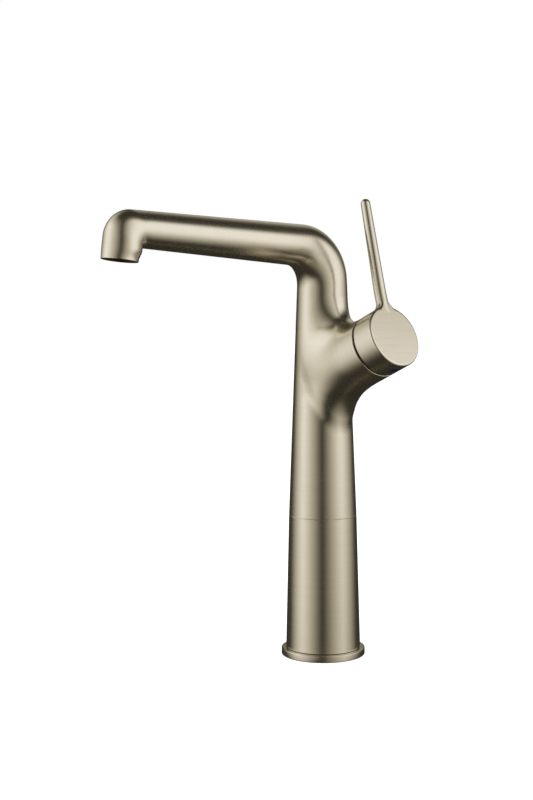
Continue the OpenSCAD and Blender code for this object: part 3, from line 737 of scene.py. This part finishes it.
def lever():
    """The hub and its pin as one piece. The pin's tapered rings start from a window in the hub's rim, and
    the grid between them lies on the melted surface. A second window holds the index plug's bore."""
    skin = Skin()
    grid, pin_span, plug_span = hub_rings()
    quarter = around_n // 4
    pin_window = (*pin_span, quarter - pin_window_half, quarter + pin_window_half)
    plug_window = (*plug_span, 3 * quarter - plug_window_half, 3 * quarter + plug_window_half)
    skin.add(grid, lever_place(grid), windows=[pin_window, plug_window])
    add_pin(skin, window_line(grid, pin_window))
    add_plug_bore(skin, window_line(grid, plug_window))
    return skin.piece("lever_hub_and_pin")


def add_pin(skin, line):
    """The pin from a line on the hub: a grid that settles on the melted root, straight tapered rings, and a
    dome whose radius is the height of a circle over its distance from the dome's start."""
    tip = pin_whole - pin_tip_r
    dome_share = np.linspace(pin_dome_start, 1, pin_dome_rows)
    dome_levels = tip + pin_tip_r * np.sin(dome_share * math.pi / 2)
    levels = np.concatenate([np.linspace(pin_sink + pin_root_len, tip, pin_rows), dome_levels])
    dome = np.sqrt(np.maximum(pin_tip_r**2 - (levels - tip) ** 2, 0))
    radii = np.where(levels < tip, pin_root_r - pin_taper * levels, dome)
    centres = pin_middle(levels)
    angles = facing_angles(line, centres[0], lever_side, pin_front)
    pin = rings(centres, lever_side[None], pin_front[None], radii, angles)
    root = settled(lever_field, between(line, pin[0], pin_root_rows), pin_root_rounds)
    root[0] = line
    root[-1] = pin[0]
    skin.add(root, lever_place(root))
    wave_x = column(radii) * np.cos(angles)
    wave_y = column(radii) * np.sin(angles)
    skin.add(pin, np.stack(np.broadcast_arrays(wave_x, wave_y, column(levels)), axis=-1))


def add_plug_bore(skin, line):
    """The plug's bore from a line on the hub: a skirt on the hub's round side, a wall and a flat seat."""
    bore_r = plug_r + plug_fit
    mid = on_lever(-branch_r, 0.0, plug_level)
    angles = facing_angles(line, mid, lever_side, outwards)
    wave_side = bore_r * np.cos(angles)
    wave_out = plug_level + bore_r * np.sin(angles)
    rim = on_lever(-np.sqrt(branch_r**2 - wave_side**2), wave_side, wave_out)
    floor = on_lever(np.full(len(angles), plug_depth - branch_r), wave_side, wave_out)
    plug_seat = on_lever(plug_depth - branch_r, 0.0, plug_level)
    skirt = between(line, rim, plug_skirt_rows)
    place = lever_place(skirt)
    reach = branch_r / np.hypot(place[..., 0], place[..., 1])
    skirt = on_lever(place[..., 0] * reach, place[..., 1] * reach, place[..., 2])
    wall = between(rim, floor, plug_bore_rows)[1:]
    bore = np.concatenate([skirt, wall, np.tile(plug_seat, (1, len(angles), 1))])
    skin.add(bore, lever_place(bore))


def index_plug():
    """The coloured index plug: a short round plug under a low dome, an arc whose radius follows from its
    width and height. It stands proud of the hub's side by the dome's height."""
    seat = branch_r - plug_depth + plug_back
    edge = branch_r - plug_set_in
    dome_h = plug_dome + plug_set_in
    bow = (plug_r**2 + dome_h**2) / (2 * dome_h)
    arc = np.linspace(math.asin(plug_r / bow), 0, plug_dome_rows)
    dome = list(zip(bow * np.sin(arc), edge + dome_h - bow + bow * np.cos(arc)))
    profile = [
        (0, seat),
        (plug_r - plug_bevel, seat),
        (plug_r, seat + plug_bevel),
        (plug_r, (seat + edge) / 2),
        *dome,
    ]
    skin = Skin()
    centre = pivot + plug_level * outwards
    skin.add(turned_rings(profile, centre, -lever_up, lever_side))
    return skin.piece("index_plug_dome")


# ---------------------------------------------------------------- the foot: sleeve, flange and gasket


def turned_piece(name, profile):
    """A closed outline turned about the column's axis, as one piece."""
    skin = Skin()
    skin.add(turned_rings([*profile, profile[0]]))
    return skin.piece(name)


def foot_pieces():
    """The tapered sleeve with its bore and lip, the flange that it stands on with the gasket's recess, and
    the gasket: three outlines of straight stretches and quarter circles, turned about the column's axis."""
    low = sleeve_low.z
    foot_r = sleeve_high.x
    foot_round = sleeve_foot_round
    top_r = column_foot_r
    taper = (foot_r - top_r) / (seam_z - flange_top)
    side_low = (foot_r - taper * sleeve_side_start, flange_top + sleeve_side_start)
    side_high = (top_r + taper * seam_chamfer, seam_z - seam_chamfer)
    sleeve = [
        (sleeve_lip_r, flange_top),
        (foot_r - foot_round, flange_top),
        *corner(foot_r - foot_round, flange_top + foot_round, foot_round, -90, 0, steps=5)[1:],
        *along(side_low, side_high, sleeve_rows),
        (top_r - seam_chamfer, seam_z),
        (sleeve_bore_r, seam_z),
        (sleeve_bore_r, seam_z - sleeve_seat_h),
        (sleeve_core_r, seam_z - sleeve_seat_h),
        (sleeve_core_r, low),
        (sleeve_lip_r, low),
    ]
    bottom = flange_low.z
    recess_r = gasket_high.x + gasket_fit
    hole_r = sleeve_lip_r + lip_fit
    flange = [
        (recess_r, bottom),
        *corner(flange_r - flange_foot_round, bottom + flange_foot_round, flange_foot_round, -90, 0),
        *corner(flange_r - flange_round, flange_top - flange_round, flange_round, 0, 90, steps=9),
        (hole_r, flange_top),
        (hole_r, gasket_high.z),
        (recess_r, gasket_high.z),
    ]
    outer = gasket_high.x - gasket_round
    inner = gasket_in_r + gasket_round
    low_edge = gasket_low.z + gasket_round
    high_edge = gasket_high.z - gasket_round
    edges = [(outer, low_edge), (outer, high_edge), (inner, high_edge), (inner, low_edge)]
    gasket = []
    for quarter, (radius, level) in enumerate(edges):
        gasket += corner(radius, level, gasket_round, 90 * quarter - 90, 90 * quarter, steps=4)
    return (
        turned_piece("column_sleeve", sleeve),
        turned_piece("round_flange", flange),
        turned_piece("deck_gasket", gasket),
    )


# ---------------------------------------------------------------- shader maths

# The Mix node's colours share their names with its other sockets, so they go by number.
mix_colours = (6, 7)
mixed_colour = 2
coat_roughness = 0.08


class Signal:
    """A number that varies over a surface. Sums and products of it add their maths nodes."""

    def __init__(self, paint, socket):
        self.paint = paint
        self.socket = socket

    def __add__(self, other):
        return self.paint.maths("ADD", self, other)

    def __radd__(self, other):
        return self.paint.maths("ADD", other, self)

    def __sub__(self, other):
        return self.paint.maths("SUBTRACT", self, other)

    def __rsub__(self, other):
        return self.paint.maths("SUBTRACT", other, self)

    def __mul__(self, other):
        return self.paint.maths("MULTIPLY", self, other)

    def __rmul__(self, other):
        return self.paint.maths("MULTIPLY", other, self)

    def larger(self, other):
        """The larger of this and another number."""
        return self.paint.maths("MAXIMUM", self, other)

    def rise(self, start, end):
        """A soft step from 0 at start to 1 at end."""
        settings = {"interpolation_type": "SMOOTHSTEP"}
        return self.paint.node("MapRange", settings, {"Value": self, "From Min": start, "From Max": end})

    def slope(self, start, end):
        """A straight ramp from 0 at start to 1 at end, flat beyond them."""
        settings = {"clamp": True}
        return self.paint.node("MapRange", settings, {"Value": self, "From Min": start, "From Max": end})

    def fall(self, start, end):
        """A straight ramp from 1 at start to 0 at end, flat beyond them."""
        return 1 - self.slope(start, end)


class Paint:
    """The nodes of one material or of the world."""

    def __init__(self, owner):
        owner.use_nodes = True
        self.tree = owner.node_tree
        self.tree.nodes.clear()

    def node(self, kind, settings=None, sockets=None, output=0):
        """Adds a node: its settings first, then its sockets' values or links. Returns one of its outputs."""
        made = self.tree.nodes.new("ShaderNode" + kind)
        for name, value in (settings or {}).items():
            setattr(made, name, value)
        for name, value in (sockets or {}).items():
            if isinstance(value, Signal):
                self.tree.links.new(value.socket, made.inputs[name])
            else:
                made.inputs[name].default_value = value
        return Signal(self, made.outputs[output] if made.outputs else None)

    def maths(self, operation, *values):
        """One maths node on these values."""
        return self.node("Math", {"operation": operation}, dict(enumerate(values)))

    def dot(self, place, way):
        """How far a place lies along a way."""
        return self.node("VectorMath", {"operation": "DOT_PRODUCT"}, {0: place, 1: way}, "Value")

    def object_place(self):
        """The place on the object, in metres."""
        return self.node("TexCoord", None, None, "Object")

    def ray(self, kind):
        """1 for the rays of one kind."""
        return self.node("LightPath", None, None, f"Is {kind} Ray")

    def noise(self, place, scale, detail=2.0, roughness=0.5):
        """Noise between 0 and 1; the scale counts its swells in a metre."""
        sockets = {"Vector": place, "Scale": scale, "Detail": detail, "Roughness": roughness}
        return self.node("TexNoise", None, sockets)

    def streaks(self, place, scale, shift=0.0, detail=2.0, roughness=0.5):
        """Noise with a scale of its own along X, Y and Z, for fine lines along one way or round a piece."""
        sockets = {"Vector": place, "Scale": scale, "Location": (shift, shift, shift)}
        return self.noise(self.node("Mapping", None, sockets), 1.0, detail, roughness)

    def mixed(self, share, first, second):
        """Two colours mixed by a share."""
        colours = {socket: (*colour, 1) for socket, colour in zip(mix_colours, (first, second))}
        return self.node("Mix", {"data_type": "RGBA"}, {"Factor": share, **colours}, mixed_colour)

    def bump(self, height, strength, distance):
        """Fine relief of the surface from a height."""
        return self.node("Bump", None, {"Height": height, "Strength": strength, "Distance": distance})

    def finish(self, colour, rough, normal, more):
        """The surface shader with these and more sockets, linked to the output."""
        sockets = {"Base Color": colour, "Roughness": rough, "Normal": normal, **more}
        shader = self.node("BsdfPrincipled", None, sockets)
        self.node("OutputMaterial", None, {"Surface": shader})


def new_paint(name):
    """A new material and its nodes."""
    material = bpy.data.materials.new(name)
    return material, Paint(material)


# ---------------------------------------------------------------- finishes

nickel_deep = (0.775, 0.715, 0.595)
nickel_light = (0.865, 0.8, 0.675)
nickel_rough = 0.25
nickel_streak_share = 0.75
lever_rise = math.atan2(outwards[2], outwards[0])


def brushed_nickel(name, straightened):
    """Warm nickel, brushed round each round part: long fine streaks, a wavy mottle of the plating and soft
    handling marks. On the new pieces the streaks follow the straightened piece, elsewhere the frame's Z."""
    fine_share = 0.35
    streak_dulling = 0.07
    mark_dulling = 0.02
    material, paint = new_paint(name)
    if straightened:
        place = paint.node("Attribute", {"attribute_name": "straight"}, None, "Vector")
    else:
        place = paint.object_place()
    fine = paint.streaks(place, (60.0, 60.0, 5200.0), roughness=0.6)
    coarse = paint.streaks(place, (22.0, 22.0, 850.0), shift=7.0, roughness=0.55)
    mottle = paint.noise(place, 55.0, detail=3.0)
    marks = paint.streaks(place, (48.0, 48.0, 40.0), shift=3.0, detail=1.0, roughness=0.4).rise(0.48, 0.78)
    streaks = fine * fine_share + coarse * (1 - fine_share)
    shade = streaks * nickel_streak_share + mottle * (1 - nickel_streak_share)
    colour = paint.mixed(shade.slope(0.2, 0.8), nickel_deep, nickel_light)
    rough = nickel_rough - streak_dulling / 2 + streaks * streak_dulling + marks * mark_dulling
    normal = paint.bump(coarse, strength=0.14, distance=0.00002)
    paint.finish(colour, rough, normal, {"Metallic": 1.0})
    return material


def brushed_disc(name):
    """The same nickel on the lever's flat face, brushed in straight lines along the spout's direction."""
    fine_share = 0.5
    streak_dulling = 0.1
    material, paint = new_paint(name)
    turned_back = {"Vector": paint.object_place(), "Rotation": (0.0, -lever_rise, 0.0)}
    place = paint.node("Mapping", None, turned_back)
    fine = paint.streaks(place, (900.0, 45.0, 4200.0), roughness=0.6)
    coarse = paint.streaks(place, (300.0, 22.0, 1250.0), roughness=0.55)
    mottle = paint.noise(place, 60.0, detail=3.0)
    streaks = fine * fine_share + coarse * (1 - fine_share)
    shade = streaks * nickel_streak_share + mottle * (1 - nickel_streak_share)
    colour = paint.mixed(shade.slope(0.3, 0.7), nickel_deep, nickel_light)
    rough = nickel_rough - streak_dulling / 2 + streaks * streak_dulling
    normal = paint.bump(streaks, strength=0.35, distance=0.00002)
    paint.finish(colour, rough, normal, {"Metallic": 1.0})
    return material


def turned_metal(name, deep, light, roughness):
    """Machined metal: fine turning lines round the axis, a little colour drift and dull spots."""
    line_share = 0.4
    spot_dulling = 0.12
    line_dulling = 0.05
    material, paint = new_paint(name)
    place = paint.object_place()
    lines = paint.streaks(place, (70.0, 70.0, 3600.0), roughness=0.6)
    drift = paint.noise(place, 140.0, detail=4.0, roughness=0.55)
    shade = lines * line_share + drift * (1 - line_share)
    colour = paint.mixed(shade.slope(0.32, 0.68), deep, light)
    rough = roughness - spot_dulling / 2 + drift * spot_dulling + lines * line_dulling
    normal = paint.bump(lines, strength=0.4, distance=0.00003)
    paint.finish(colour, rough, normal, {"Metallic": 1.0})
    return material


def moulded(name, deep, light, roughness, grain, depth, coat=0.0):
    """Moulded or lapped stuff: a fine grain in the surface, a faint drift of its colour and uneven gloss."""
    grain_share = 0.5
    drift_dulling = 0.06
    grain_dulling = 0.04
    material, paint = new_paint(name)
    place = paint.object_place()
    specks = paint.noise(place, grain, detail=3.0, roughness=0.6)
    drift = paint.noise(place, 120.0, detail=3.0)
    shade = specks * grain_share + drift * (1 - grain_share)
    colour = paint.mixed(shade.slope(0.32, 0.68), deep, light)
    rough = roughness - grain_dulling + drift * drift_dulling + specks * grain_dulling
    normal = paint.bump(specks, strength=0.5, distance=depth)
    paint.finish(colour, rough, normal, {"Coat Weight": coat, "Coat Roughness": coat_roughness})
    return material


# ---------------------------------------------------------------- camera

camera_distance = 1.00069
camera_azimuth = math.radians(46.22)
camera_height = 0.25838
camera_pitch = math.radians(4.96)
camera_yaw = math.radians(-2.13)
camera_roll = math.radians(-0.35)
camera_lens = 67.914
camera_film = 36
camera_nearest = 0.05
camera_farthest = 20


def turned_pair(first, second, angle):
    """Two square ways turned by an angle in their own plane, the first towards the second."""
    return (
        first * math.cos(angle) + second * math.sin(angle),
        second * math.cos(angle) - first * math.sin(angle),
    )


def camera():
    """The camera stands a metre off, to the right of the spout, and looks down by a few degrees."""
    ahead = np.array([-math.sin(camera_azimuth), math.cos(camera_azimuth), 0])
    side = np.array([math.cos(camera_azimuth), math.sin(camera_azimuth), 0])
    place = -ahead * camera_distance + upwards * camera_height
    ahead, side = turned_pair(ahead, side, camera_yaw)
    ahead, top = turned_pair(ahead, upwards, -camera_pitch)
    side, top = turned_pair(side, top, camera_roll)
    data = bpy.data.cameras.new("camera")
    data.sensor_width = camera_film
    data.lens = camera_lens
    data.clip_start = camera_nearest
    data.clip_end = camera_farthest
    thing = placed("camera", data)
    frame_of = Matrix((side, top, -ahead)).transposed().to_4x4()
    frame_of.translation = Vector(place)
    thing.matrix_world = frame_of
    bpy.context.scene.camera = thing


# ---------------------------------------------------------------- floor and light

room_glow = 0.55
floor_reach = 4.0
floor_glow = 0.7
lamp_power = 14.0
lamp_size = 1.2
lamp_place = Vector((0.35, -0.5, 1.6))
lamp_target = Vector((0, 0, 0.1))
shell_r = 1.3
shell_middle = 0.2
shell_dark = 0.03
shell_rows = 25
shell_columns = 48
panel_edge_tint = (1.08, 1.0, 0.76)

# The edges of the soft panels, each from dark to bright or back, in degrees. Turns are measured from the
# camera's side, positive to the right, and heights above the horizon.
left_outer = (-139, -80)
left_outer_lean = 0.35
left_inner = (-74, -5)
left_inner_below = 20
left_inner_lean = 1.5
left_top = (34, 66)
right_inner = (2, 64)
right_outer = (83, 142)
right_foot = (-80, 5)
right_top = (52, 70)
right_slant = (93, 113)
right_slant_lean = 0.7
back_right = (140, 166)
back_left = (168, 178)
back_foot = (4, 14)
back_top = (34, 54)
back_strength = 0.45


def sheet(name, points, quads):
    """A plain mesh for the floor or for the studio's cloths."""
    mesh = bpy.data.meshes.new(name)
    mesh.from_pydata(points, [], quads)
    thing = placed(name, mesh)
    return thing


def white_for_eyes(paint):
    """1 for the rays that show the background: straight from the camera, or by way of gloss or glass."""
    seen, gloss, glass = (paint.ray(kind) for kind in ("Camera", "Glossy", "Transmission"))
    return seen.larger(gloss).larger(glass)


def studio_world():
    """A white world of strength 1, dimmer as a lamp for matt surfaces."""
    world = bpy.data.worlds.new("studio")
    bpy.context.scene.world = world
    paint = Paint(world)
    strength = room_glow + white_for_eyes(paint) * (1 - room_glow)
    glow = paint.node("Background", None, {"Color": (1, 1, 1, 1), "Strength": strength})
    paint.node("OutputWorld", None, {"Surface": glow})


def floor():
    """A wide pale floor. It takes the object's shadow, and glows just enough to the camera to look white."""
    corners = np.array([[-1, -1, 0], [1, -1, 0], [1, 1, 0], [-1, 1, 0]]) * floor_reach
    thing = sheet("floor", corners, [(0, 1, 2, 3)])
    thing.visible_glossy = False
    material, paint = new_paint("pale_floor")
    seen = paint.ray("Camera")
    sockets = {"Base Color": (0.85, 0.85, 0.85, 1), "Roughness": 0.9, "Specular IOR Level": 0.0}
    matt = paint.node("BsdfPrincipled", None, sockets)
    glow = paint.node("Emission", None, {"Color": (1, 1, 1, 1), "Strength": seen * floor_glow})
    both = paint.node("AddShader", None, {0: matt, 1: glow})
    paint.node("OutputMaterial", None, {"Surface": both})
    thing.data.materials.append(material)


def panel_light(turned, height):
    """How bright the shell is at a turn and a height: the soft panels to the left, to the right and behind,
    each the product of ramps at its edges."""
    left_edge = (turned + height - height.larger(0) * left_outer_lean).slope(*left_outer)
    below = (height * -1 - left_inner_below).larger(0)
    left_side = left_edge * (turned + below * left_inner_lean).fall(*left_inner)
    left = left_side * height.fall(*left_top)
    foot = (turned - height).fall(*right_outer) * height.slope(*right_foot)
    head = height.fall(*right_top) * (height + turned * right_slant_lean).fall(*right_slant)
    wall = turned.slope(*back_right) + (turned * -1).slope(*back_left)
    behind = wall * height.slope(*back_foot) * height.fall(*back_top) * back_strength
    return left + turned.slope(*right_inner) * foot * head + behind


def soft_panels():
    """A dark shell all round, which only reflections see, with two tall soft panels that light the metal,
    one to the left and one to the right, and a dim one behind. Their edges are warmer than their middles."""
    steps = np.linspace(0, 2 * math.pi, shell_columns, endpoint=False)
    levels = column(np.linspace(-math.pi / 2, math.pi / 2, shell_rows))
    ball = [np.cos(levels) * np.cos(steps), np.cos(levels) * np.sin(steps), np.sin(levels)]
    points = np.stack(np.broadcast_arrays(*ball), axis=-1).reshape(-1, 3) * shell_r + upwards * shell_middle
    thing = sheet("soft_panels", points, grid_quads(shell_rows, shell_columns, True))
    for kind in ("camera", "diffuse", "transmission", "shadow"):
        setattr(thing, "visible_" + kind, False)
    material, paint = new_paint("soft_panels")
    sockets = {"Vector": paint.object_place(), "Location": (0.0, 0.0, -shell_middle)}
    place = paint.node("Mapping", None, sockets)
    to_right = paint.dot(place, (math.cos(camera_azimuth), math.sin(camera_azimuth), 0))
    to_camera = paint.dot(place, (math.sin(camera_azimuth), -math.cos(camera_azimuth), 0))
    up_share = paint.dot(place, (0, 0, 1 / shell_r))
    turned = paint.maths("ARCTAN2", to_right, to_camera) * math.degrees(1)
    height = paint.maths("ARCSINE", up_share) * math.degrees(1)
    light = panel_light(turned, height)
    colour = paint.mixed(light.slope(0, 1), panel_edge_tint, (1.0, 1.0, 1.0))
    strength = shell_dark + light * (1 - shell_dark)
    panel = paint.node("Emission", None, {"Color": colour, "Strength": strength})
    paint.node("OutputMaterial", None, {"Surface": panel})
    thing.data.materials.append(material)


def lamp():
    """One broad soft lamp from above, for the matt parts and the floor's shadow; gloss doesn't show it."""
    data = bpy.data.lights.new("soft_lamp", "AREA")
    data.shape = "DISK"
    data.size = lamp_size
    data.energy = lamp_power
    thing = placed("soft_lamp", data)
    thing.location = lamp_place
    thing.rotation_euler = (lamp_place - lamp_target).to_track_quat("Z", "Y").to_euler()
    thing.visible_glossy = False


# ---------------------------------------------------------------- the model put together


def dress(piece, body, node, slot, *materials):
    """Puts a piece on its body in place of a CAD node, with its materials. The slot argument is not used."""
    for material in materials:
        piece.data.materials.append(material)
    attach(piece, body)
    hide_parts(node)


def second_finish(piece, chosen):
    """Gives a piece's second material to the faces whose middles are chosen."""
    middles = np.empty(len(piece.data.polygons) * 3)
    piece.data.polygons.foreach_get("center", middles)
    faces = chosen(middles.reshape(-1, 3))
    piece.data.polygons.foreach_set("material_index", faces.astype(np.int32))


def in_nozzle_bore(places):
    """Which places lie in the nozzle's bore: close enough to the outlet's axis and not too far along it."""
    outlet = next(mount for mount in frame["record"]["mounts"] if mount["name"] == "outlet")
    axis = np.array(outlet["axis"])
    places = places - np.array(outlet["pos_m"])
    level = places @ axis
    off_axis = np.linalg.norm(places - column(level) * axis, axis=-1)
    return (off_axis < aerator_bore_r + bore_reach) & (np.abs(level) < aerator_bore_depth + rim_round)


def on_foot_edge(places):
    """Which places lie on the sleeve's rounded foot edge, outside its lip."""
    off_axis = np.hypot(places[:, 0], places[:, 1])
    return (places[:, 2] < flange_top + sleeve_foot_round) & (off_axis > sleeve_lip_r)


def on_hub_face(places):
    """Which places lie on the flat face of the lever's hub."""
    up, side, out = lever_place(places).T
    return (out > hub_face - face_level_fit) & (np.hypot(up, side) < branch_r - face_edge)


camera()
nickel = brushed_nickel("brushed_nickel", True)

# A deep and a light colour and a roughness, and for moulded stuff the grain's scale and depth and the coat.
finishes = {
    "brushed_nickel": brushed_nickel("brushed_nickel_frame", False),
    "raw_brass": turned_metal("raw_brass", (0.6, 0.44, 0.2), (0.72, 0.56, 0.29), 0.34),
    "stainless_steel": turned_metal("stainless_steel", (0.5, 0.5, 0.5), (0.64, 0.64, 0.63), 0.3),
    "black_rubber": moulded("black_rubber", (0.012, 0.012, 0.012), (0.03, 0.03, 0.03), 0.68, 2600, 0.00004),
    "pale_plastic": moulded("pale_plastic", (0.64, 0.63, 0.58), (0.74, 0.73, 0.69), 0.46, 2200, 0.00002),
    "grey_plastic": moulded("grey_plastic", (0.13, 0.135, 0.15), (0.18, 0.185, 0.2), 0.5, 2200, 0.00002),
    "ceramic": moulded("ceramic", (0.78, 0.76, 0.69), (0.88, 0.86, 0.8), 0.2, 3000, 0.00001),
    "index_blue": moulded("index_blue", (0.003, 0.006, 0.03), (0.006, 0.012, 0.05), 0.3, 900, 0.00001, 0.6),
}
# Painted shade: a near-black metal that stands in for the shadow inside the nozzle's bore and at the sleeve's foot
# edge, where it also stands for dirt in the joint.
painted_shade = turned_metal("painted_shade_dark", (0.035, 0.033, 0.028), (0.06, 0.055, 0.045), 0.55)
nickel_face = brushed_disc("brushed_nickel_face")

body = casting()
# Painted shade: the nozzle's bore wall takes the near-black second material, so the mouth reads dark as if in deep
# shadow.
dress(body, "mixer_body", "body_casting", "brushed_nickel", nickel, painted_shade)
second_finish(body, in_nozzle_bore)
sleeve, flange, gasket = foot_pieces()
# Painted shade and joint dirt: the sleeve's rounded foot edge takes the near-black second material, a dark shadow
# line where it meets the flange.
dress(sleeve, "mixer_body", "riser_sleeve", "brushed_nickel", nickel, painted_shade)
second_finish(sleeve, on_foot_edge)
dress(flange, "mixer_body", "base_flange", "brushed_nickel", nickel)
dress(gasket, "mixer_body", "base_gasket", "black_rubber", finishes["black_rubber"])
handle = lever()
dress(handle, "lever", "lever_handle", "brushed_nickel", nickel, nickel_face)
second_finish(handle, on_hub_face)
dress(index_plug(), "lever", "index_plug", "index_blue", finishes["index_blue"])

slots = {part["node"]: part["material_slot"] for part in frame["record"]["subparts"]}
for name, node in frame["nodes"].items():
    node.data.materials.clear()
    node.data.materials.append(finishes[slots[name]])

studio_world()
floor()
soft_panels()
lamp()
bpy.context.scene.view_settings.view_transform = "Standard"
